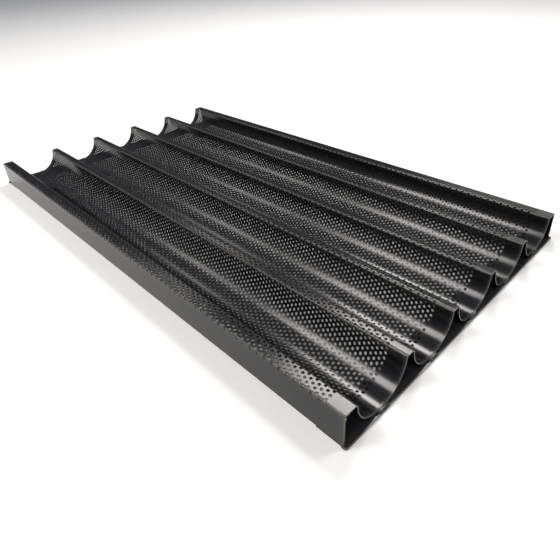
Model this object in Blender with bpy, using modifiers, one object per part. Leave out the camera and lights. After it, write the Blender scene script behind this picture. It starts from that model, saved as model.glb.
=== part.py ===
"""Baguette tray: one corrugated sheet with five round-bottomed troughs, carried on two folded end bars.

Metres, +Z up. X runs along the troughs, Y across them, and z = 0 is the surface that the tray stands on.
The sheet's side walls and the troughs rest on the flanges of the end bars. Each bar has a low lip with
rounded corners, and one tongue for each trough, folded over the trough's end to hold the sheet down.
The sheet's round perforations are too many to model as solids, so the sheet is plain here.
"""

import math

import bmesh
import bpy

# --- overall sizes; the width follows from the troughs and the lands --------------------------------
TRAY_LENGTH = 0.720          # over the lips of the two end bars
TRAY_HEIGHT = 0.035          # from the rest surface to the top of the lands

# --- the corrugated sheet --------------------------------------------------------------------------
SHEET_GAUGE = 0.0010
TROUGH_COUNT = 5
TROUGH_RADIUS = 0.0320       # to the upper surface, which the dough lies on
INNER_LAND = 0.00565         # flat part between two troughs
OUTER_LAND = 0.01128         # flat part between an outer trough and its side wall
LAND_BEND_RADIUS = 0.0030    # upper surface, where a trough turns over into a land
SIDE_BEND_INSIDE = 0.0005    # inner radius, where an outer land turns down into a side wall
TROUGH_STEPS = 30            # facets around one trough
LAND_BEND_STEPS = 5
SIDE_BEND_STEPS = 4

# --- the end bars ----------------------------------------------------------------------------------
BAR_GAUGE = 0.0010
BAR_STANDOUT = 0.0034        # from the sheet's cut end to the lip's outer face
BAR_FLANGE = 0.0280          # how far the flange reaches under the sheet
LIP_HEIGHT = 0.0022
LIP_RETURN = 0.0020          # how far the lip runs along each side wall, past its corner
LIP_BEND_INSIDE = 0.0002     # inner radius, between flange and lip
LIP_BEND_STEPS = 4
CORNER_RADIUS = 0.0030       # of the lip, in plan
CORNER_STEPS = 6

# --- the tongues that hold the troughs -------------------------------------------------------------
TONGUE_WIDTH = 0.0120
TONGUE_REACH = 0.0030        # past the sheet's cut end, on the trough's upper surface
TONGUE_ROOT = 0.0019         # height at which a tongue leans in from the lip's line
TONGUE_CREST = 0.0010        # how far outside the sheet's cut end a tongue levels out
RELIEF = 0.0006              # slot between a tongue and the lip on each side of it
NOTCH_WIDTH = 0.0010         # the slot that parts a tongue's end into two lobes
NOTCH_OFFSET = -0.0020       # of the notch's middle from the tongue's middle
RAMP_LENGTH = 0.0100         # over which the lip climbs towards a tongue
RAMP_RISE = 0.0008

CLEARANCE = 0.0003           # between faces that touch on the real tray

# --- what follows from them ------------------------------------------------------------------------
SHEET_LENGTH = TRAY_LENGTH - 2 * BAR_STANDOUT
SIDE_BEND_RADIUS = SIDE_BEND_INSIDE + SHEET_GAUGE
LIP_BEND_RADIUS = LIP_BEND_INSIDE + BAR_GAUGE
SHEET_BASE = BAR_GAUGE + CLEARANCE                              # underside of troughs and side walls
TROUGH_FLOOR = SHEET_BASE + SHEET_GAUGE                         # lowest line of a trough's upper surface
TROUGH_CENTRE_Z = TROUGH_FLOOR + TROUGH_RADIUS
BEND_CENTRE_Z = TRAY_HEIGHT - LAND_BEND_RADIUS
# A trough and a land bend touch where their centres and the point of contact are in line.
CENTRE_DISTANCE = TROUGH_RADIUS + LAND_BEND_RADIUS
BEND_CENTRE_Y = math.sqrt(CENTRE_DISTANCE ** 2 - (TROUGH_CENTRE_Z - BEND_CENTRE_Z) ** 2)
WALL_ANGLE = math.atan2(BEND_CENTRE_Z - TROUGH_CENTRE_Z, BEND_CENTRE_Y)
TROUGH_PITCH = 2 * BEND_CENTRE_Y + INNER_LAND
TROUGHS_WIDTH = TROUGH_COUNT * TROUGH_PITCH - INNER_LAND
SHEET_WIDTH = TROUGHS_WIDTH + 2 * (OUTER_LAND + SIDE_BEND_RADIUS)
TRAY_WIDTH = SHEET_WIDTH + 2 * (BAR_GAUGE + CLEARANCE)          # over the corners of the end bars

DARK_COAT = (0.028, 0.029, 0.033, 1.0)
BAR_COAT = (0.045, 0.046, 0.050, 1.0)


def trough_middles():
    """The Y of each trough's middle, from the -Y side."""
    first = -(TROUGH_COUNT - 1) / 2 * TROUGH_PITCH
    return [first + k * TROUGH_PITCH for k in range(TROUGH_COUNT)]


def arc(centre_y, centre_z, radius, start, end, steps):
    """Points on an arc in the YZ plane, both ends included."""
    angles = [start + (end - start) * i / steps for i in range(steps + 1)]
    return [(centre_y + radius * math.cos(a), centre_z + radius * math.sin(a)) for a in angles]


def trough_outline(middle):
    """Upper surface of one trough with the bends on both its sides, from -Y to +Y."""
    left_bend = arc(middle - BEND_CENTRE_Y, BEND_CENTRE_Z, LAND_BEND_RADIUS,
                    math.pi / 2, -WALL_ANGLE, LAND_BEND_STEPS)
    bowl = arc(middle, TROUGH_CENTRE_Z, TROUGH_RADIUS,
               math.pi - WALL_ANGLE, 2 * math.pi + WALL_ANGLE, TROUGH_STEPS)
    right_bend = arc(middle + BEND_CENTRE_Y, BEND_CENTRE_Z, LAND_BEND_RADIUS,
                     math.pi + WALL_ANGLE, math.pi / 2, LAND_BEND_STEPS)
    return left_bend + bowl[1:-1] + right_bend


def sheet_outline():
    """The sheet's outer and upper skin across the tray, from one side wall's foot to the other's."""
    half = SHEET_WIDTH / 2
    bend_y = half - SIDE_BEND_RADIUS
    bend_z = TRAY_HEIGHT - SIDE_BEND_RADIUS
    points = [(-half, SHEET_BASE)]
    points += arc(-bend_y, bend_z, SIDE_BEND_RADIUS, math.pi, math.pi / 2, SIDE_BEND_STEPS)
    for middle in trough_middles():
        points += trough_outline(middle)
    points += arc(bend_y, bend_z, SIDE_BEND_RADIUS, math.pi / 2, 0.0, SIDE_BEND_STEPS)
    points.append((half, SHEET_BASE))
    return points


def trough_surface_z(offset):
    """Height of a trough's upper surface at a distance from its middle."""
    return TROUGH_CENTRE_Z - math.sqrt(TROUGH_RADIUS ** 2 - offset ** 2)


def coat(name, colour, roughness, metallic):
    """A material with one Principled BSDF."""
    material = bpy.data.materials.new(name)
    material.use_nodes = True
    shader = material.node_tree.nodes["Principled BSDF"]
    shader.inputs["Base Color"].default_value = colour
    shader.inputs["Roughness"].default_value = roughness
    shader.inputs["Metallic"].default_value = metallic
    return material


def add_part(name, mesh, material, collection):
    """An object of the tray, linked into its collection, with round stretches shaded smooth."""
    part = bpy.data.objects.new(name, mesh)
    mesh.materials.append(material)
    mesh.shade_smooth()
    mesh.set_sharp_from_angle(angle=math.radians(40))
    collection.objects.link(part)
    return part


def thicken(part, gauge):
    """Give a skin its metal thickness, on the side away from its normals."""
    solidify = part.modifiers.new("gauge", "SOLIDIFY")
    solidify.thickness = gauge
    solidify.offset = -1.0
    solidify.use_even_offset = True
    return solidify


def make_sheet(collection):
    """The corrugated sheet: its outline drawn along X, then thickened inwards."""
    bm = bmesh.new()
    rail = [bm.verts.new((-SHEET_LENGTH / 2, y, z)) for y, z in sheet_outline()]
    edges = [bm.edges.new(pair) for pair in zip(rail, rail[1:])]
    drawn = bmesh.ops.extrude_edge_only(bm, edges=edges)["geom"]
    moved = [v for v in drawn if isinstance(v, bmesh.types.BMVert)]
    bmesh.ops.translate(bm, vec=(SHEET_LENGTH, 0, 0), verts=moved)
    bmesh.ops.recalc_face_normals(bm, faces=bm.faces)
    land = max(bm.faces, key=lambda f: f.calc_center_median().z)
    if land.normal.z < 0:
        bmesh.ops.reverse_faces(bm, faces=bm.faces)
    mesh = bpy.data.meshes.new("corrugated_sheet")
    bm.to_mesh(mesh)
    bm.free()
    sheet = add_part("corrugated_sheet", mesh, coat("sheet_coat", DARK_COAT, 0.38, 0.6), collection)
    thicken(sheet, SHEET_GAUGE)
    return sheet


def lip_stations():
    """Y positions along the bar's straight lip, with the role of each and its rise above the lip.

    A role is the place between this station and the next: plain lip, relief slot, tongue or notch.
    """
    straight_end = TRAY_WIDTH / 2 - CORNER_RADIUS
    half = TONGUE_WIDTH / 2
    notch = (NOTCH_OFFSET - NOTCH_WIDTH / 2, NOTCH_OFFSET + NOTCH_WIDTH / 2)
    stations = [(-straight_end, "lip", 0.0)]
    for middle in trough_middles():
        stations += [
            (middle - half - RELIEF - RAMP_LENGTH, "lip", 0.0),
            (middle - half - RELIEF, "relief", RAMP_RISE),
            (middle - half, "tongue", 0.0),
            (middle + (notch[0] - half) / 2, "tongue", 0.0),
            (middle + notch[0], "notch", 0.0),
            (middle + notch[1], "tongue", 0.0),
            (middle + notch[1] + (half - notch[1]) / 3, "tongue", 0.0),
            (middle + notch[1] + (half - notch[1]) * 2 / 3, "tongue", 0.0),
            (middle + half, "relief", 0.0),
            (middle + half + RELIEF, "lip", RAMP_RISE),
            (middle + half + RELIEF + RAMP_LENGTH, "lip", 0.0),
        ]
    stations.append((straight_end, "lip", 0.0))
    return stations


def lip_path():
    """Stations round the bar's lip in plan: point on the outer face, outward direction, role, rise."""
    outer_x = TRAY_LENGTH / 2
    centre_x = outer_x - CORNER_RADIUS
    centre_y = TRAY_WIDTH / 2 - CORNER_RADIUS
    path = [((centre_x - LIP_RETURN, -TRAY_WIDTH / 2), (0.0, -1.0), "lip", 0.0)]
    for i in range(CORNER_STEPS):
        a = math.pi / 2 * i / CORNER_STEPS
        out = (math.sin(a), -math.cos(a))
        path.append(((centre_x + CORNER_RADIUS * out[0], -centre_y + CORNER_RADIUS * out[1]),
                     out, "lip", 0.0))
    for y, role, rise in lip_stations():
        path.append(((outer_x, y), (1.0, 0.0), role, rise))
    for i in range(1, CORNER_STEPS + 1):
        a = math.pi / 2 * i / CORNER_STEPS
        out = (math.cos(a), math.sin(a))
        path.append(((centre_x + CORNER_RADIUS * out[0], centre_y + CORNER_RADIUS * out[1]),
                     out, "lip", 0.0))
    path.append(((centre_x - LIP_RETURN, TRAY_WIDTH / 2), (0.0, 1.0), "lip", 0.0))
    return path


def tongue_section(offset):
    """A tongue's outer skin above the lip's bend, as (distance inboard of the lip's face, height)."""
    top = trough_surface_z(offset) + CLEARANCE + BAR_GAUGE
    crest = BAR_STANDOUT - TONGUE_CREST
    return [(0.0, TONGUE_ROOT), (crest, top - CLEARANCE / 2), (BAR_STANDOUT, top),
            (BAR_STANDOUT + TONGUE_REACH, top)]


def make_bar_mesh():
    """The end bar at +X: flange, lip and tongues as one skin, outer side out."""
    bm = bmesh.new()
    path = lip_path()
    middles = trough_middles()

    def place(station, inboard, height):
        (x, y), (out_x, out_y) = station[0], station[1]
        return bm.verts.new((x - inboard * out_x, y - inboard * out_y, height))

    bend = []
    for i in range(LIP_BEND_STEPS + 1):
        a = math.pi / 2 * i / LIP_BEND_STEPS
        inboard = LIP_BEND_RADIUS * (1 - math.sin(a))
        height = LIP_BEND_RADIUS * (1 - math.cos(a))
        bend.append([place(station, inboard, height) for station in path])

    def strip(lower, upper):
        """Quads between two rows of vertices."""
        for j in range(len(lower) - 1):
            bm.faces.new((lower[j], lower[j + 1], upper[j + 1], upper[j]))

    for lower, upper in zip(bend, bend[1:]):
        strip(lower, upper)
    foot = bend[-1]

    inner_x = TRAY_LENGTH / 2 - BAR_STANDOUT - BAR_FLANGE
    corners = [bm.verts.new((inner_x, side * (TRAY_WIDTH / 2 - LIP_BEND_RADIUS), 0.0)) for side in (1, -1)]
    bm.faces.new(list(reversed(bend[0] + corners)))

    run = []
    for j, station in enumerate(path):
        run.append(j)
        if station[2] != "lip" or j == len(path) - 1:
            top = [place(path[i], 0.0, LIP_HEIGHT + path[i][3]) for i in run]
            if len(run) > 1:
                strip([foot[i] for i in run], top)
            run = []

    start = None
    for j, station in enumerate(path):
        if station[2] == "tongue" and start is None:
            start = j
        if station[2] == "relief" and start is not None:
            make_tongue(path[start:j + 1], foot[start:j + 1], middles, place, bm)
            start = None

    mesh = bpy.data.meshes.new("end_bar")
    bmesh.ops.recalc_face_normals(bm, faces=bm.faces)
    lowest = min(bm.faces, key=lambda f: f.calc_center_median().z)
    if lowest.normal.z > 0:
        bmesh.ops.reverse_faces(bm, faces=bm.faces)
    bm.to_mesh(mesh)
    bm.free()
    return mesh


def make_tongue(stations, foot, middles, place, bm):
    """One tongue, from the lip's bend over the trough's end, with its end parted into two lobes."""
    middle = min(middles, key=lambda m: abs(m - stations[0][0][1]))
    sections = [tongue_section(station[0][1] - middle) for station in stations]
    lower = foot
    last = len(sections[0]) - 1
    for level in range(last + 1):
        upper = [place(s, *section[level]) for s, section in zip(stations, sections)]
        for j in range(len(stations) - 1):
            if level == last and stations[j][2] == "notch":
                continue
            bm.faces.new((lower[j], lower[j + 1], upper[j + 1], upper[j]))
        lower = upper


def make_end_bar(name, mesh, turn, material, collection):
    """An end bar, turned about the tray's upright axis to its own end."""
    bar = add_part(name, mesh, material, collection)
    bar.rotation_euler = (0.0, 0.0, turn)
    thicken(bar, BAR_GAUGE)
    return bar


def main():
    for old in list(bpy.data.objects):
        bpy.data.objects.remove(old)
    collection = bpy.data.collections.new("baguette_tray")
    bpy.context.scene.collection.children.link(collection)
    make_sheet(collection)
    bar_coat = coat("bar_coat", BAR_COAT, 0.42, 0.6)
    make_end_bar("end_bar_near", make_bar_mesh(), 0.0, bar_coat, collection)
    make_end_bar("end_bar_far", make_bar_mesh(), math.pi, bar_coat, collection)


main()
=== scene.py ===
# %% [markdown]
# # A perforated baguette tray
# The real tray is one aluminium sheet, punched full of small round holes and folded into five
# round-bottomed troughs, with a folded bar clinched over each cut end. It is coated nearly black, so
# almost all that the eye sees is gloss: long bands of light along the troughs, broken up by the holes.
# The lesson builds the sheet with its real holes, the two bars with their tongues, and the coat.

# %% Load the frame
import math

import bpy
import numpy as np
from mathutils import Matrix, Vector

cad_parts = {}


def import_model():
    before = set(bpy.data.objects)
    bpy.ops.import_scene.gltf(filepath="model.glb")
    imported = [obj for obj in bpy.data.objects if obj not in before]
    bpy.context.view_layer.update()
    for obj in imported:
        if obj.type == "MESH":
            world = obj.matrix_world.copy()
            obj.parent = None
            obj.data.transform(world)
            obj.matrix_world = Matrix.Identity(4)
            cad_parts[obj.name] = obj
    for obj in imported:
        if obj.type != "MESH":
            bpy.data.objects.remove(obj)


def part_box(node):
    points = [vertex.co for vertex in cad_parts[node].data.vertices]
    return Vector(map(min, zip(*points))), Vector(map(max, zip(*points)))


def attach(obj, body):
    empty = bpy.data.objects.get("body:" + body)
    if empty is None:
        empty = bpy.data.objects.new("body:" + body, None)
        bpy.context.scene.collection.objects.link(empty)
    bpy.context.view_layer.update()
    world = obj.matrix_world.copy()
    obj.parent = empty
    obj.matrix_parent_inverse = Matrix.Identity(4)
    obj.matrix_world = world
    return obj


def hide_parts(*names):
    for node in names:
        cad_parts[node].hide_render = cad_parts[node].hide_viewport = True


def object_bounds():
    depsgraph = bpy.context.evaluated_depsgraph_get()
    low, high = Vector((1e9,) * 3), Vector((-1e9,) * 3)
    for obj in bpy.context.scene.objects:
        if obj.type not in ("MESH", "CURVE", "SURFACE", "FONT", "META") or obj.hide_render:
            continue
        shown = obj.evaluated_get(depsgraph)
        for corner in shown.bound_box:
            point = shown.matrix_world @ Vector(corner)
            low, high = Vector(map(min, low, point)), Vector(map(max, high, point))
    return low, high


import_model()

cad_low, cad_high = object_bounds()
sheet_low, sheet_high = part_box("corrugated_sheet")
bar_low, bar_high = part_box("end_bar_near")
MM = 0.001
print("frame:", [round(v / MM, 1) for v in cad_high - cad_low], "mm")

# %% [markdown]
# ## The folded profile
# Looking along a trough, the sheet is a chain of straight runs and arcs: up the side wall, over a tight
# bend, along a land, over a softer bend and round the trough, five times. A list of points would do, but
# a chain that stores each run's length and turning angle gives the place, the slope and the normal at
# any distance along the sheet, exactly. Holes are punched while the sheet is flat, so that distance is
# the one coordinate in which their pattern is even.

# %% Runs of the profile
GAUGE = 1.0 * MM
TROUGHS = 5
TROUGH_PITCH = 75.5 * MM
TROUGH_RADIUS = 32.0 * MM       # all radii and lengths are those of the upper surface
LAND_BEND = 3.0 * MM
SIDE_BEND = 1.5 * MM

bowl_centre_z = sheet_low.z + GAUGE + TROUGH_RADIUS
drop = bowl_centre_z - (cad_high.z - LAND_BEND)
bend_offset = math.sqrt((TROUGH_RADIUS + LAND_BEND) ** 2 - drop ** 2)
bend_turn = math.acos(drop / (TROUGH_RADIUS + LAND_BEND))
trough_middles = (np.arange(TROUGHS) - (TROUGHS - 1) / 2) * TROUGH_PITCH
inner_land = TROUGH_PITCH - 2 * bend_offset
outer_land = sheet_high.y - SIDE_BEND - trough_middles[-1] - bend_offset
side_wall = cad_high.z - SIDE_BEND - sheet_low.z

side_runs = [(side_wall, 0.0), (SIDE_BEND * math.pi / 2, -math.pi / 2), (outer_land, 0.0)]
land_bend = (LAND_BEND * bend_turn, -bend_turn)
bowl = (TROUGH_RADIUS * 2 * bend_turn, 2 * bend_turn)
trough_runs = [land_bend, bowl, land_bend, (inner_land, 0.0)]
runs = np.array(side_runs + (trough_runs * TROUGHS)[:-1] + side_runs[::-1])
run_length, run_turn = runs.T


def before(amounts):
    """Running total of the amounts, up to but not including each one."""
    return np.cumsum(amounts) - amounts


def chord(length, turn):
    """Straight distance between the ends of an arc: its length times sin(turn / 2) / (turn / 2)."""
    return length * np.sinc(turn / (2 * np.pi))


run_start = before(run_length)
run_heading = np.pi / 2 + before(run_turn)
run_chord = chord(run_length, run_turn)
run_y = sheet_low.y + before(run_chord * np.cos(run_heading + run_turn / 2))
run_z = sheet_low.z + before(run_chord * np.sin(run_heading + run_turn / 2))
blank_width = run_length.sum()


def along(distance, lift=0.0):
    """Place on the folded sheet.

    y and z are the run's start plus a chord in the mean direction so far, and then a lift along the
    normal, which is the heading turned a quarter to the left. Returns y, z and the heading.
    """
    run = np.clip(np.searchsorted(run_start, distance, side="right") - 1, 0, len(runs) - 1)
    done = distance - run_start[run]
    turned = done * run_turn[run] / run_length[run]
    step = chord(done, turned)
    mean = run_heading[run] + turned / 2
    heading = run_heading[run] + turned
    y = run_y[run] + step * np.cos(mean) - lift * np.sin(heading)
    z = run_z[run] + step * np.sin(mean) + lift * np.cos(heading)
    return y, z, heading


print("the blank is", round(blank_width / MM, 1), "mm wide before it is folded")

# %% [markdown]
# ## The pattern of holes
# Perforated stock has its holes on a 60 degree pattern: in a line of holes they lie one pitch apart, and
# the next line is shifted by half a pitch and lies half of the square root of 3 of a pitch away. Here
# the lines run across the tray, and they are called columns. The mesh's grid lines run midway between
# the columns, so each hole sits in a cell of its own.
# Tight bends get extra grid lines, because a cell is as wide as the bend's radius.

# %% Grid lines and rows
PITCH = 5.0 * MM
HOLE_RADIUS = 1.5 * MM
FAR_MARGIN = 13.4 * MM          # from the far cut end to the middle of the first holes
COLUMNS = 158
BEND_STEPS = 5                  # grid lines between two rows of holes, on a tight bend
TIGHT_RADIUS = 5.0 * MM
FOOT_SHARES = np.array([0.0, 0.05, 0.4, 0.75, 0.9])     # grid lines between a foot and the first row
NO_TURN = 1e-9                  # stands in for a straight run's turn, so that its radius is huge

column_step = PITCH * math.sqrt(3) / 2
row_step = PITCH / 2
column_lines = sheet_low.x + FAR_MARGIN + (np.arange(COLUMNS + 1) - 0.5) * column_step

rows_each_side = round((blank_width / 2 - side_wall - SIDE_BEND) / row_step)
row_lines = blank_width / 2 + row_step * np.arange(-rows_each_side - 1, rows_each_side + 2)
radius = np.abs(run_length / np.where(run_turn == 0, NO_TURN, run_turn))
tight = radius < TIGHT_RADIUS
starts_before = run_start[tight][None, :] < row_lines[1:, None]
ends_after = (run_start + run_length)[tight][None, :] > row_lines[:-1, None]
gap_steps = np.where((starts_before & ends_after).any(axis=1), BEND_STEPS, 1)

foot_lines = row_lines[0] * FOOT_SHARES
row_level = len(foot_lines) + np.concatenate([[0], np.cumsum(gap_steps)])
inner_levels = np.interp(np.arange(row_level[0], row_level[-1] + 1), row_level, row_lines)
levels = np.concatenate([foot_lines, inner_levels, blank_width - foot_lines[::-1]])
parent_gap = np.searchsorted(row_level, np.arange(len(levels) - 1), side="right") - 1
has_parent = (parent_gap >= 0) & (parent_gap < len(gap_steps))
near_margin = sheet_high.x - column_lines[-1] + column_step / 2
outermost = row_step * rows_each_side - (blank_width / 2 - side_wall)
print("the outermost row lies", round(-outermost / MM, 2), "mm above the top of the flat side wall")
print(COLUMNS, "columns,", 2 * rows_each_side + 1, "rows, near margin", round(near_margin / MM, 1), "mm")

# %% [markdown]
# ## One cell with its hole
# A cell is a rectangle with a round hole. Its outline has a point at every grid line that it meets, and
# its hole is a ring with a dozen points. Both rings are sorted by their angle round the hole's middle,
# and a zip of triangles joins them. The cells of a kind share one recipe of triangles, so a recipe is
# worked out once, and numpy lays it over thousands of cells.

# %% The recipe for a cell's triangles
HOLE_SIDES = 12
ring_angle = 2 * np.pi * (np.arange(HOLE_SIDES) + 0.5) / HOLE_SIDES - np.pi


def cell_recipe(lower, upper):
    """Triangles between a cell's outline and its ring, for the numbers of steps in its two halves.

    Returns each outline point's side (0 or 1) and level from the cell's middle row, and triples that
    count outline points first and ring points after them.
    """
    level = np.arange(-lower, upper + 1)
    side = np.concatenate([np.ones(len(level)), np.zeros(len(level))]).astype(int)
    level = np.concatenate([level, level[::-1]])
    height = row_step * level / np.where(level < 0, lower, upper)
    angle = np.arctan2(height, (side - 0.5) * column_step)
    order = np.argsort(angle)
    side, level, angle = side[order], level[order], angle[order]
    outline, ring = len(side), HOLE_SIDES
    outer, inner, triangles = 0, 0, []
    while outer < outline or inner < ring:
        next_outer = angle[(outer + 1) % outline] + 2 * np.pi * ((outer + 1) // outline)
        next_inner = ring_angle[(inner + 1) % ring] + 2 * np.pi * ((inner + 1) // ring)
        o, r = outer % outline, outline + inner % ring
        if inner >= ring or (outer < outline and next_outer <= next_inner):
            triangles.append((o, (outer + 1) % outline, r))
            outer += 1
        else:
            triangles.append((o, outline + (inner + 1) % ring, r))
            inner += 1
    return side, level, np.array(triangles)


print("a plain cell has", len(cell_recipe(1, 1)[2]), "triangles on each face")

# %% [markdown]
# ## Meshes from arrays
# About a million triangles are laid out by numpy, so they go into their meshes as whole arrays. The
# numbers stored beside them tell the finish what a face is and how near a point is to a rubbed edge.
# On the bars that nearness also lays a painted highlight along the edges that catch the light.

# %% A mesh from arrays


def mesh_from_arrays(name, points, faces, normals=None):
    """An object from arrays: points, face arrays and, if given, a normal for each corner of a face."""
    corners = np.concatenate([f.ravel() for f in faces])
    sizes = np.concatenate([np.full(len(f), f.shape[1]) for f in faces])
    mesh = bpy.data.meshes.new(name)
    mesh.vertices.add(len(points))
    mesh.vertices.foreach_set("co", points.astype(np.float32).ravel())
    mesh.loops.add(len(corners))
    mesh.loops.foreach_set("vertex_index", corners.astype(np.int32))
    mesh.polygons.add(len(sizes))
    mesh.polygons.foreach_set("loop_start", before(sizes).astype(np.int32))
    mesh.update(calc_edges=True)
    mesh.shade_smooth()
    if normals is not None:
        mesh.normals_split_custom_set(np.concatenate([n.reshape(-1, 3) for n in normals]))
    piece = bpy.data.objects.new(name, mesh)
    bpy.context.scene.collection.objects.link(piece)
    return piece


def store(piece, name, domain, values):
    """Keep one number for each point or face of a piece, for its finish to read."""
    attribute = piece.data.attributes.new(name, "FLOAT", domain)
    attribute.data.foreach_set("value", np.asarray(values, dtype=np.float32))


# %% [markdown]
# ## A bay of the sheet
# The whole sheet holds about eighteen thousand holes, which is too much for one mesh to be handled
# with ease. It is made as bays, cut where two columns of cells meet. Each bay is a closed
# solid: an upper skin, the same skin one gauge lower and facing down, the wall of each hole, and a strip
# along each cut and each foot. The normals come from the profile's formula, so no shading shows where
# two bays meet.

# %% Where the holes of a bay are


def placed(x, distance, lift):
    """Points in space from a place along the tray and a distance along the folded sheet."""
    y, z, heading = along(distance, lift)
    return np.stack([np.broadcast_to(x, y.shape), y, z], axis=-1), heading


def hole_places(first_column, punched):
    """Column and row of each hole: every second row of a punched column, so that row + column is odd."""
    parity = (first_column + np.arange(len(punched)))[:, None] + np.arange(len(row_lines))
    column, row = np.nonzero(punched[:, None] & (parity % 2 == 1))
    inside = (row > 0) & (row < len(row_lines) - 1)
    return column[inside], row[inside]


# %% The faces of a skin


def skin_faces(count, column, row):
    """Triangles in each hole's cell, and plain quads wherever no hole's cell lies.

    The points are numbered line by line on the grid of lines by levels, and then ring by ring.
    """
    tall = len(levels)
    ring_start = count * tall
    skin = []
    lower, upper = gap_steps[row - 1], gap_steps[row]
    for low, high in np.unique(np.stack([lower, upper], axis=1), axis=0):
        chosen = np.nonzero((lower == low) & (upper == high))[0]
        side, level, triangles = cell_recipe(low, high)
        outline = (column[chosen][:, None] + side) * tall + row_level[row[chosen]][:, None] + level
        ring = ring_start + chosen[:, None] * HOLE_SIDES + np.arange(HOLE_SIDES)
        skin.append(np.concatenate([outline, ring], axis=1)[:, triangles].reshape(-1, 3))

    covered = np.zeros((count - 1, len(gap_steps)), bool)
    covered[column, row - 1] = True
    covered[column, row] = True
    plain = np.ones((count - 1, tall - 1), bool)
    plain[:, has_parent] = ~covered[:, parent_gap[has_parent]]
    line, level = np.nonzero(plain)
    corner = line * tall + level
    skin.append(np.stack([corner, corner + tall, corner + tall + 1, corner + 1], axis=1))
    return skin


# %% The strips that close a bay


def closing_strips(count, holes, under):
    """Quads from the skin to its copy below: the hole walls, the two cuts and the two feet."""
    tall = len(levels)
    first = count * tall + np.arange(holes * HOLE_SIDES).reshape(-1, HOLE_SIDES)
    second = np.roll(first, -1, axis=1)
    walls = np.stack([first, second, second + under, first + under], axis=-1).reshape(-1, 4)
    rung, rail = np.arange(tall - 1), np.arange(count - 1) * tall
    near_end = (count - 1) * tall + rung
    far_cut = np.stack([rung, rung + 1, rung + 1 + under, rung + under], axis=1)
    near_cut = np.stack([near_end, near_end + under, near_end + under + 1, near_end + 1], axis=1)
    left_foot = np.stack([rail, rail + under, rail + tall + under, rail + tall], axis=1)
    rail = rail + tall - 1
    right_foot = np.stack([rail, rail + tall, rail + tall + under, rail + under], axis=1)
    return walls, far_cut, near_cut, left_foot, right_foot


# %% Build one bay
RUB_REACH = 2.0 * MM            # how far from a bend or a cut end the coat is rubbed
bend_middles = (run_start + run_length / 2)[tight]


def sheet_bay(name, lines, first_column, punched):
    """A closed stretch of sheet between the first and last of the lines, and its number of holes."""
    count, tall = len(lines), len(levels)
    column, row = hole_places(first_column, punched)
    ring_start = count * tall
    middle_x = (lines[column] + lines[column + 1]) / 2
    ring_x = middle_x[:, None] + HOLE_RADIUS * np.cos(ring_angle)
    ring_s = row_lines[row][:, None] + HOLE_RADIUS * np.sin(ring_angle)
    x = np.concatenate([np.repeat(lines, tall), ring_x.ravel()])
    distance = np.concatenate([np.tile(levels, count), ring_s.ravel()])
    top, heading = placed(x, distance, 0.0)
    bottom, _ = placed(x, distance, -GAUGE)
    under = len(top)

    # Directions at each point: out of the skin, onward along the fold, and into a hole.
    up = np.stack([np.zeros_like(x), -np.sin(heading), np.cos(heading)], axis=-1)
    onward = np.stack([np.zeros_like(x), np.cos(heading), np.sin(heading)], axis=-1)
    inward = np.zeros_like(top)
    spoke = np.tile(ring_angle, len(column))
    inward[ring_start:] = -np.cos(spoke)[:, None] * [1.0, 0.0, 0.0]
    inward[ring_start:] -= np.sin(spoke)[:, None] * onward[ring_start:]
    up, inward, onward = (np.concatenate([v, v]) for v in (up, inward, onward))
    along_x = np.broadcast_to([1.0, 0.0, 0.0], up.shape)

    skin = skin_faces(count, column, row)
    strips = closing_strips(count, len(column), under)
    walls, far_cut, near_cut = strips[:3]
    faces = skin + [f[:, ::-1] + under for f in skin] + list(strips)
    normals = [up[f] for f in skin] + [-up[f[:, ::-1]] for f in skin]
    for strip, facing in zip(strips, (inward, -along_x, along_x, -onward, onward)):
        normals.append(facing[strip])
    bay = mesh_from_arrays(name, np.concatenate([top, bottom]), faces, normals)

    # What the finish needs to know: hole walls, cut ends, and how near a point is to a rubbed edge.
    store(bay, "punched", "FACE", np.concatenate([np.full(len(f), f is walls) for f in faces]))
    is_cut = [np.full(len(f), f is far_cut or f is near_cut) for f in faces]
    store(bay, "cut", "FACE", np.concatenate(is_cut))
    to_bend = np.abs(distance[:, None] - bend_middles).min(axis=1)
    to_cut = np.minimum(x - sheet_low.x, sheet_high.x - x)
    rub_and_highlight = np.maximum(np.exp(-(to_bend / RUB_REACH) ** 2), np.exp(-to_cut / RUB_REACH))
    store(bay, "rub_and_highlight", "POINT", np.concatenate([rub_and_highlight, np.zeros_like(rub_and_highlight)]))
    return bay, len(column)


# %% All the bays
BAYS = 7
END_LINES = np.array([0.0, 1.5, 4.0, 7.5]) * MM         # grid lines in from a cut end, where wear fades
unpunched = np.zeros(len(END_LINES), bool)

bays, holes = [], 0
for number, columns in enumerate(np.array_split(np.arange(COLUMNS), BAYS), start=1):
    lines = column_lines[columns[0]:columns[-1] + 2]
    punched = np.ones(len(columns), bool)
    first_column = columns[0]
    if number == 1:
        lines = np.concatenate([sheet_low.x + END_LINES, lines])
        punched = np.concatenate([unpunched, punched])
        first_column -= len(END_LINES)
    if number == BAYS:
        lines = np.concatenate([lines, (sheet_high.x - END_LINES)[::-1]])
        punched = np.concatenate([punched, unpunched])
    bay, made = sheet_bay(f"sheet_bay_{number}", lines, first_column, punched)
    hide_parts("corrugated_sheet")
    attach(bay, "root")
    bays.append(bay)
    holes += made
    print(bay.name, made, "holes,", sum(len(p.vertices) - 2 for p in bay.data.polygons), "triangles")
print("holes in all:", holes)

# %% [markdown]
# ## The end bars
# Each cut end sits in a bar folded from its own strip: a flange under the sheet, a low upturned lip
# with rounded corners, and a tongue for each trough. The strip would be blanked with slots beside each
# tongue, folded up, and the tongues clinched over the sheet on a press. A skin one face thick follows
# that fold, and Solidify gives it its gauge. The tongues end in two lobes, parted by a narrow notch.

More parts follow.
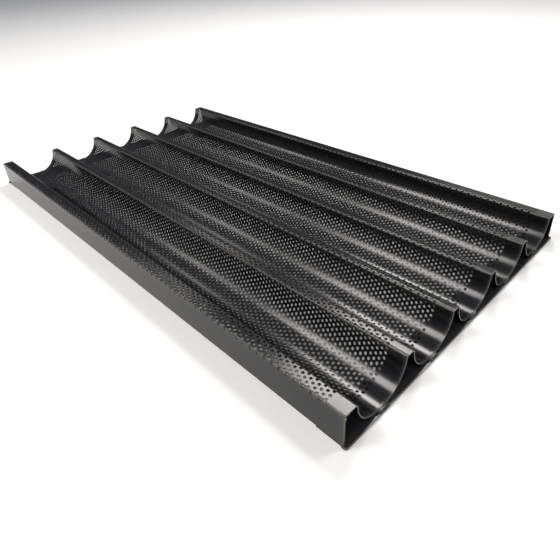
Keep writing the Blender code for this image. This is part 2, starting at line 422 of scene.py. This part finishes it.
# %% Sizes of a bar
STANDOUT = bar_high.x - sheet_high.x
FLANGE = sheet_high.x - bar_low.x
LIP_HEIGHT = 2.2 * MM
LIP_RETURN = 2.0 * MM
LIP_BEND = 1.2 * MM
CORNER = 3.0 * MM
TONGUE_HALF = 6.0 * MM
TONGUE_ROOT = 1.9 * MM
TONGUE_CREST = 1.0 * MM
LOBES = [(-6.0 * MM, -2.5 * MM), (-1.5 * MM, 6.0 * MM)]
LOBE_SHOULDER = 0.7 * MM
LOBE_REACH = 2.2 * MM
RELIEF = 0.6 * MM
RAMP_LENGTH = 10.0 * MM
RAMP_RISE = 0.8 * MM
CLEARANCE = 0.3 * MM
print("a bar stands out", round(STANDOUT / MM, 2), "mm and reaches in", round(FLANGE / MM, 2), "mm")

# %% Stations along the lip
LIP, GAP, LOBE, NOTCH = range(4)
LOBE_STEPS = 10
across = 1 - np.cos(np.linspace(0, np.pi, LOBE_STEPS + 1))     # bunched at both ends, 0 to 2


def tongue_stations():
    """Places across a tongue from its middle, the kind of stretch that follows each, and its reach.

    Each lobe is half an ellipse on a short straight shoulder: reach = shoulder + rest * sqrt(1 - u * u).
    """
    places, kinds, reach = [], [], []
    ellipse = np.sqrt(np.clip(1 - (across - 1) ** 2, 0, 1))
    for (start, end), after in zip(LOBES, (NOTCH, GAP)):
        places.append(start + (end - start) * across / 2)
        kinds.append([LOBE] * LOBE_STEPS + [after])
        reach.append(LOBE_SHOULDER + (LOBE_REACH - LOBE_SHOULDER) * ellipse)
    return np.concatenate(places), np.concatenate(kinds), np.concatenate(reach)


tongue_y, tongue_kind, tongue_reach = tongue_stations()
ramp = TONGUE_HALF + RELIEF
one_y = np.concatenate([[-ramp - RAMP_LENGTH, -ramp], tongue_y, [ramp, ramp + RAMP_LENGTH]])
one_kind = np.concatenate([[LIP, GAP], tongue_kind, [LIP, LIP]])
one_rise = np.zeros(len(one_y))
one_rise[[1, -2]] = RAMP_RISE
one_reach = np.concatenate([[0, 0], tongue_reach, [0, 0]])
print(len(one_y), "stations at one tongue")

# %% The lip's path in plan
CORNER_STEPS = 12
corner_angle = np.linspace(0, np.pi / 2, CORNER_STEPS + 1)
half_y = bar_high.y
corner_x, corner_y = bar_high.x - CORNER, half_y - CORNER
return_x = np.concatenate([[corner_x - LIP_RETURN], corner_x + CORNER * np.sin(corner_angle)])
return_y = np.concatenate([[-half_y], -corner_y - CORNER * np.cos(corner_angle)])
out_x = np.concatenate([[0.0], np.sin(corner_angle)])
out_y = np.concatenate([[-1.0], -np.cos(corner_angle)])
straight_y = (trough_middles[:, None] + one_y).ravel()
path_x = np.concatenate([return_x, np.full(len(straight_y), bar_high.x), return_x[::-1]])
path_y = np.concatenate([return_y, straight_y, -return_y[::-1]])
path_out = np.stack([np.concatenate([out_x, np.ones(len(straight_y)), out_x[::-1]]),
                     np.concatenate([out_y, np.zeros(len(straight_y)), -out_y[::-1]])], axis=1)
no_tongue = np.zeros(len(return_x))
path_kind = np.concatenate([no_tongue, np.tile(one_kind, TROUGHS), no_tongue]).astype(int)
path_rise = np.concatenate([no_tongue, np.tile(one_rise, TROUGHS), no_tongue])
path_reach = np.concatenate([no_tongue, np.tile(one_reach, TROUGHS), no_tongue])
path_offset = np.concatenate([no_tongue, np.tile(one_y, TROUGHS), no_tongue])
print(len(path_x), "stations round one lip")

# %% Rows of points round a bar
BEND_POINTS = 7                 # up the lip's bend
ROOT_EASE = 0.25 * MM           # how far below the root a tongue starts to lean
ROOT_BEND = (0.08 * MM, 0.05 * MM)          # in and up from the root
LEAN = (0.55, 0.6)              # shares of the way in and up to the crest
CREST_DIP = 0.12 * MM


def bar_rows():
    """Rows of (distance in from the lip's face, height): the lip's bend, its top, and a tongue's section.

    A tongue leans in from the root, levels out above the trough's surface, which is
    centre_z - sqrt(R * R - offset * offset), and ends at its reach.
    """
    bend = np.linspace(0, np.pi / 2, BEND_POINTS)
    rows = [(LIP_BEND * (1 - np.sin(a)), LIP_BEND * (1 - np.cos(a))) for a in bend]
    rest = bowl_centre_z - np.sqrt(TROUGH_RADIUS ** 2 - path_offset ** 2 * (path_kind != LIP))
    rest = rest + CLEARANCE + GAUGE
    crest = STANDOUT - TONGUE_CREST
    rows.append((0.0, LIP_HEIGHT + path_rise))
    rows += [(0.0, TONGUE_ROOT - ROOT_EASE), (ROOT_BEND[0], TONGUE_ROOT + ROOT_BEND[1]),
             (crest * LEAN[0], TONGUE_ROOT + LEAN[1] * (rest - TONGUE_ROOT)),
             (crest, rest - CREST_DIP), (STANDOUT, rest),
             (STANDOUT + path_reach * 0.5, rest), (STANDOUT + path_reach, rest)]
    return rows


rows = bar_rows()
stations, lip_row, foot_row, tip_row = len(path_x), BEND_POINTS, BEND_POINTS - 1, len(rows) - 1
distance_in = np.stack([np.broadcast_to(row[0], path_x.shape) for row in rows])
height = np.stack([np.broadcast_to(row[1], path_x.shape) for row in rows])
flat = np.stack([path_x, path_y], axis=1) - distance_in[..., None] * path_out
flange_x, flange_y = sheet_high.x - FLANGE, half_y - LIP_BEND
flange_corners = [[flange_x, flange_y, 0.0], [flange_x, -flange_y, 0.0]]
bar_points = np.concatenate([flat, height[..., None]], axis=-1).reshape(-1, 3)
bar_points = np.concatenate([bar_points, flange_corners])
print(len(rows), "rows by", stations, "stations")

# %% Faces of a bar
# How far each row is rubbed: the lip's bend, its foot and its top, then the tongue from root to tip. The
# high values on the lip's top, the tongue's root bend and its tip are partly wear and partly a painted
# highlight along those edges.
RUB_AND_HIGHLIGHT_OF_ROW = np.array([0.2] * foot_row + [0.35, 1.0, 0.6, 0.9, 0.2, 0.3, 0.1, 0.1, 1.0])
RUB_OF_FLANGE = 0.5


def strip_between(lower, upper, chosen):
    """Quads between two rows, at the chosen stations."""
    first, second = lower * stations + chosen, upper * stations + chosen
    return np.stack([first, first + 1, second + 1, second], axis=1)


station, kind = np.arange(stations - 1), path_kind[:-1]
bar_faces = [strip_between(row, row + 1, station) for row in range(foot_row)]
bar_faces.append(strip_between(foot_row, lip_row, station[kind == LIP]))
for row in range(lip_row + 1, tip_row + 1):
    below = foot_row if row == lip_row + 1 else row - 1
    wanted = (kind == LOBE) | ((kind == NOTCH) & (row < tip_row - 1))
    bar_faces.append(strip_between(below, row, station[wanted]))
flange = np.concatenate([np.arange(stations), len(bar_points) - np.array([2, 1])])
bar_faces.append(flange[None, ::-1])

# Rows hold points for every station, and many are in no face. The rest are numbered afresh.
used, packed = np.unique(np.concatenate([f.ravel() for f in bar_faces]), return_inverse=True)
cuts = np.cumsum([f.size for f in bar_faces])[:-1]
bar_faces = [part.reshape(f.shape) for part, f in zip(np.split(packed, cuts), bar_faces)]
bar_rub_and_highlight = np.tile(RUB_AND_HIGHLIGHT_OF_ROW[:, None], (1, stations))
# Each lobe's two edges get the full amount: partly wear, partly a painted highlight along the edge.
bar_rub_and_highlight[lip_row + 1:, path_reach == LOBE_SHOULDER] = 1.0     # the two edges of each lobe
bar_rub_and_highlight = np.concatenate([bar_rub_and_highlight.ravel(), [RUB_OF_FLANGE] * 2])[used]
print(len(used), "points in one bar")

# %% Both bars
SHARP_FOLD = math.radians(40)
EDGE_ROUND = 0.12 * MM
EDGE_ANGLE = math.radians(50)   # only edges sharper than this are rounded


def end_bar(name, node, side):
    """One bar. Multiplying x and y by -1 turns it half a turn about the upright axis."""
    bar = mesh_from_arrays(name, bar_points[used] * [side, side, 1.0], bar_faces)
    store(bar, "rub_and_highlight", "POINT", bar_rub_and_highlight)
    bar.data.set_sharp_from_angle(angle=SHARP_FOLD)
    skin = bar.modifiers.new("gauge", "SOLIDIFY")
    skin.thickness = GAUGE
    skin.offset = -1.0
    skin.use_even_offset = True
    edge = bar.modifiers.new("edge", "BEVEL")
    edge.width = EDGE_ROUND
    edge.segments = 2
    edge.limit_method = "ANGLE"
    edge.angle_limit = EDGE_ANGLE
    edge.harden_normals = True
    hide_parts(node)
    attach(bar, "root")
    return bar


bars = [end_bar("lipped_bar_near", "end_bar_near", 1.0), end_bar("lipped_bar_far", "end_bar_far", -1.0)]
for bar in bars:
    print(bar.name, len(bar.data.polygons), "faces before its gauge")

# %% [markdown]
# ## Sums of sockets
# A finish is a formula, and a formula reads best as Python. A small class wraps a node's output, so
# that 0.3 + 0.1 * grain adds the Math nodes by itself. Anything that is not arithmetic comes from one
# method, which takes the node's type, its settings and what goes into its sockets.

# %% Write a finish as a formula


class Wire:
    """A node's output. Arithmetic on it adds one Math node for each operation."""

    def __init__(self, finish, socket):
        self.finish = finish
        self.socket = socket

    def combine(self, operation, first, second):
        return self.finish.node("ShaderNodeMath", {"operation": operation}, {0: first, 1: second})

    def __add__(self, other):
        return self.combine("ADD", self, other)

    def __radd__(self, other):
        return self.combine("ADD", other, self)

    def __sub__(self, other):
        return self.combine("SUBTRACT", self, other)

    def __rsub__(self, other):
        return self.combine("SUBTRACT", other, self)

    def __mul__(self, other):
        return self.combine("MULTIPLY", self, other)

    def __rmul__(self, other):
        return self.combine("MULTIPLY", other, self)


class Finish:
    """A material with one Principled BSDF, and the method that adds any other node to it."""

    def __init__(self, name):
        self.material = bpy.data.materials.new(name)
        self.material.use_nodes = True
        self.tree = self.material.node_tree
        self.shader = self.tree.nodes["Principled BSDF"]

    def put(self, socket, value):
        """Link a wire to a socket, or set the socket to a value."""
        if isinstance(value, Wire):
            self.tree.links.new(value.socket, socket)
        else:
            socket.default_value = value

    def node(self, kind, settings=None, inputs=None, output=0):
        """Add a node: first its settings, then its sockets' values or wires. Returns one output."""
        added = self.tree.nodes.new(kind)
        for key, value in (settings or {}).items():
            setattr(added, key, value)
        for key, value in (inputs or {}).items():
            self.put(added.inputs[key], value)
        return Wire(self, added.outputs[output])

    def set(self, **sockets):
        """Put values or wires into the shader's sockets. An underscore stands for a space."""
        for key, value in sockets.items():
            self.put(self.shader.inputs[key.replace("_", " ")], value)

    def grain(self, sizes, detail=2.0):
        """Noise whose blobs have the given sizes along X, Y and Z, about 0 to 1."""
        place = self.node("ShaderNodeTexCoord", output="Object")
        scale = tuple(1.0 / size for size in sizes)
        stretched = self.node("ShaderNodeMapping", None, {"Vector": place, "Scale": scale})
        return self.node("ShaderNodeTexNoise", None, {"Vector": stretched, "Scale": 1.0, "Detail": detail})

    def stored(self, name):
        """A number kept on the mesh."""
        return self.node("ShaderNodeAttribute", {"attribute_name": name}, output="Fac")

    def ramp(self, value, start, end):
        """0 up to start, 1 from end on, and smooth between them."""
        limits = {"Value": value, "From Min": start, "From Max": end}
        return self.node("ShaderNodeMapRange", {"interpolation_type": "SMOOTHSTEP"}, limits)

    def blend(self, amount, first, second):
        """A colour between two others."""
        settings = {"data_type": "RGBA", "clamp_factor": True}
        return self.node("ShaderNodeMix", settings, {"Factor": amount, "A": first, "B": second}, 2)


# %% [markdown]
# ## The coat
# The aluminium carries a thin baked coat that is almost black. It is not a metal to the eye: like any
# lacquer it mirrors a twenty-fifth of the light head-on and far more at a glancing angle. What it
# mirrors makes its look. The side wall mirrors the bright floor and looks grey, and a trough's far wall
# mirrors the dim part of the room and looks black. Under the coat the rolled sheet has a fine grain
# along its length, and the coat adds a slight orange peel. Both are far smaller than a hole, so they
# are bump and not geometry.

# %% Coats for the sheet, the punched walls and the bars
COAT_IOR = 1.5
ROLLING_GRAIN = (6.0 * MM, 0.45 * MM, 0.45 * MM)
ORANGE_PEEL = (1.1 * MM, 1.1 * MM, 1.1 * MM)
CLOUDS = (55 * MM, 35 * MM, 35 * MM)
SCUFFS = (14 * MM, 2.2 * MM, 2.2 * MM)
# The rubbed colour is lighter than the coat. On the sheet it is wear, and on the bars' brightest edges it
# is partly a painted highlight.
RUB_AND_HIGHLIGHT_COLOUR = (0.10, 0.097, 0.088, 1.0)
BARE_EDGE = (0.06, 0.058, 0.052, 1.0)
PUNCHED = (0.004, 0.004, 0.005, 1.0)
SHEET_DARK, SHEET_LIGHT = (0.0018, 0.0022, 0.0032, 1.0), (0.0045, 0.0046, 0.0050, 1.0)
# The bars wear the same near-black coat as the sheet, but their two shades are set about ten times
# lighter: a painted reflection of the pale floor on the lip.
BAR_DARK_AND_PAINTED_REFLECTION, BAR_LIGHT_AND_PAINTED_REFLECTION = (0.016, 0.018, 0.023, 1.0), (0.027, 0.028, 0.030, 1.0)
SHEET_ROUGHNESS, BAR_ROUGHNESS = 0.19, 0.24
GRAIN_SHARE = 0.75              # of the relief. The rest is orange peel
RELIEF_STRENGTH = 0.35
RELIEF_DEPTH = 0.05 * MM
SCUFF_RANGE, BLOTCH_RANGE = (0.60, 0.78), (0.45, 0.90)
WEAR_AND_HIGHLIGHT_SHOWS = 0.75
CLOUD_ROUGH, GRAIN_ROUGH, SCUFF_ROUGH, WEAR_ROUGH = 0.06, 0.06, 0.08, 0.06
PUNCHED_ROUGH, CUT_ROUGH = 0.05, 0.10


def dark_coat(name, dark, light, roughness):
    """Near-black lacquer over rolled sheet.

    roughness = base + clouds + grain + scuffs + wear and highlight, with a little more on hole walls and
    cut ends, and relief = grain + orange peel. Wear and highlight is the stored nearness to a rubbed
    edge times blotchy noise. It also lightens the colour: on the sheet that is wear, and on the bars'
    brightest edges it is partly a painted highlight.
    """
    finish = Finish(name)
    clouds = finish.grain(CLOUDS)
    grain = finish.grain(ROLLING_GRAIN)
    peel = finish.grain(ORANGE_PEEL)
    scuff = finish.ramp(finish.grain(SCUFFS, detail=5.0), *SCUFF_RANGE)
    rub_and_highlight = finish.stored("rub_and_highlight")
    punched, cut = finish.stored("punched"), finish.stored("cut")
    blotches = finish.ramp(finish.grain(ORANGE_PEEL, detail=4.0) + 0.35 * rub_and_highlight, *BLOTCH_RANGE)
    wear_and_highlight = (1 - punched) * rub_and_highlight * blotches
    height = GRAIN_SHARE * grain + (1 - GRAIN_SHARE) * peel
    relief = {"Strength": RELIEF_STRENGTH, "Distance": RELIEF_DEPTH, "Height": height}
    bump = finish.node("ShaderNodeBump", None, relief)
    colour = finish.blend(clouds, dark, light)
    # Lighter where rubbed: wear, and on the bars' brightest edges also a painted highlight.
    colour = finish.blend(WEAR_AND_HIGHLIGHT_SHOWS * wear_and_highlight, colour, RUB_AND_HIGHLIGHT_COLOUR)
    colour = finish.blend(punched, colour, PUNCHED)
    colour = finish.blend(cut * (0.5 + 0.5 * peel), colour, BARE_EDGE)
    rough = (roughness - CLOUD_ROUGH) + CLOUD_ROUGH * clouds + GRAIN_ROUGH * grain
    rough = rough + SCUFF_ROUGH * scuff + WEAR_ROUGH * wear_and_highlight + PUNCHED_ROUGH * punched + CUT_ROUGH * cut
    finish.set(Base_Color=colour, Roughness=rough, Normal=bump)
    finish.set(IOR=COAT_IOR)
    return finish.material


sheet_coat = dark_coat("sheet_coat_finish", SHEET_DARK, SHEET_LIGHT, SHEET_ROUGHNESS)
# The bars' finish carries painted light: its lifted shades are a painted reflection, and its strongest
# rubbed edges are partly a painted highlight.
bar_coat_with_painted_light = dark_coat("bar_coat_with_painted_light_finish", BAR_DARK_AND_PAINTED_REFLECTION, BAR_LIGHT_AND_PAINTED_REFLECTION, BAR_ROUGHNESS)
for bay in bays:
    bay.data.materials.append(sheet_coat)
for bar in bars:
    bar.data.materials.append(bar_coat_with_painted_light)
print("coats:", sheet_coat.name, bar_coat_with_painted_light.name)

# %% [markdown]
# ## The room
# Gloss shows the room, so the room is part of the finish. Square ceiling panels at the far side make
# the bands of light in the troughs, and those at the near side light the floor, which shines up through
# the holes. The world stands for a dim ceiling over darker walls, and the floor is plain and pale.

# %% Floor
FLOOR_SIZE = 40.0
floor_mesh = bpy.data.meshes.new("floor")
half = FLOOR_SIZE / 2
corners = [(-half, -half, 0.0), (half, -half, 0.0), (half, half, 0.0), (-half, half, 0.0)]
floor_mesh.from_pydata(corners, [], [(0, 1, 2, 3)])
floor = bpy.data.objects.new("floor", floor_mesh)
bpy.context.scene.collection.objects.link(floor)
floor_paint = Finish("floor_paint")
floor_paint.set(Base_Color=(0.90, 0.90, 0.90, 1.0), Roughness=0.8)
floor_mesh.materials.append(floor_paint.material)
print("floor:", FLOOR_SIZE, "m")

# %% World
CEILING_GLOW = (0.30, 0.31, 0.34, 1.0)
WALL_GLOW = (0.13, 0.135, 0.15, 1.0)
GLOW_STARTS, GLOW_FULL = 0.15, 0.75     # sine of the height above the horizon
world = bpy.data.worlds.new("room")
bpy.context.scene.world = world
world.use_nodes = True
nodes, links = world.node_tree.nodes, world.node_tree.links
direction = nodes.new("ShaderNodeTexCoord")
upward = nodes.new("ShaderNodeSeparateXYZ")
rise = nodes.new("ShaderNodeMapRange")
rise.interpolation_type = "SMOOTHSTEP"
rise.inputs["From Min"].default_value = GLOW_STARTS
rise.inputs["From Max"].default_value = GLOW_FULL
glow = nodes.new("ShaderNodeMix")
glow.data_type = "RGBA"
glow.inputs["A"].default_value = WALL_GLOW
glow.inputs["B"].default_value = CEILING_GLOW
links.new(direction.outputs["Generated"], upward.inputs[0])
links.new(upward.outputs["Z"], rise.inputs["Value"])
links.new(rise.outputs["Result"], glow.inputs["Factor"])
links.new(glow.outputs["Result"], nodes["Background"].inputs["Color"])
print("room:", world.name)

# %% Ceiling panels
CEILING = 1.8
PANEL_COLOUR = (1.0, 0.965, 0.91)
# Each is x, y, side and strength. The last one hangs far behind, and only brushes the flat lands.
PANELS = [(-0.60, 1.20, 0.68, 17.0), (-0.68, -1.28, 0.90, 12.0),
          (-2.20, 1.30, 0.68, 3.0), (-2.00, -1.10, 0.68, 5.0),
          (0.85, 1.20, 0.68, 11.0), (0.85, -1.20, 0.68, 11.0),
          (-0.80, 3.40, 1.50, 1.2)]
for number, (at_x, at_y, side, strength) in enumerate(PANELS, start=1):
    lamp = bpy.data.lights.new(f"panel_{number}", "AREA")
    lamp.shape = "SQUARE"
    lamp.size = side
    lamp.energy = strength * math.pi * side ** 2
    lamp.color = PANEL_COLOUR
    panel = bpy.data.objects.new(lamp.name, lamp)
    panel.location = (at_x, at_y, CEILING)
    bpy.context.scene.collection.objects.link(panel)
print(len(PANELS), "ceiling panels")

# %% [markdown]
# ## The camera
# The tray is seen from the near right, thirty degrees up and quite close, so its far end looks much
# smaller. Azimuth, elevation and distance say more to a reader than a matrix does, so the matrix is
# worked out from them. The small roll and shift frame the tray. The plain view transform keeps the
# coat as dark as it is set.

# %% Camera
CAMERA_AZIMUTH = math.radians(-43.68)
CAMERA_ELEVATION = math.radians(30.28)
CAMERA_ROLL = math.radians(-2.57)
CAMERA_DISTANCE = 0.6474
CAMERA_TARGET = Vector((0.0919, 0.0054, 0.0))
SENSOR = 36.0
FOCAL_LENGTH = 31.05
SHIFT = (-0.0116, -0.0961)
reach = math.cos(CAMERA_ELEVATION)
back_x, back_y = reach * math.cos(CAMERA_AZIMUTH), reach * math.sin(CAMERA_AZIMUTH)
back = Vector((back_x, back_y, math.sin(CAMERA_ELEVATION)))
lens = bpy.data.cameras.new("camera")
lens.sensor_width = SENSOR
lens.lens = FOCAL_LENGTH
lens.shift_x, lens.shift_y = SHIFT
lens.clip_start = 0.01
camera = bpy.data.objects.new("camera", lens)
facing = back.to_track_quat("Z", "Y").to_matrix() @ Matrix.Rotation(CAMERA_ROLL, 3, "Z")
camera.matrix_world = Matrix.Translation(CAMERA_TARGET + CAMERA_DISTANCE * back) @ facing.to_4x4()
bpy.context.scene.collection.objects.link(camera)
bpy.context.scene.camera = camera
bpy.context.scene.view_settings.view_transform = "Standard"
print("camera:", [round(v, 3) for v in camera.matrix_world.translation])
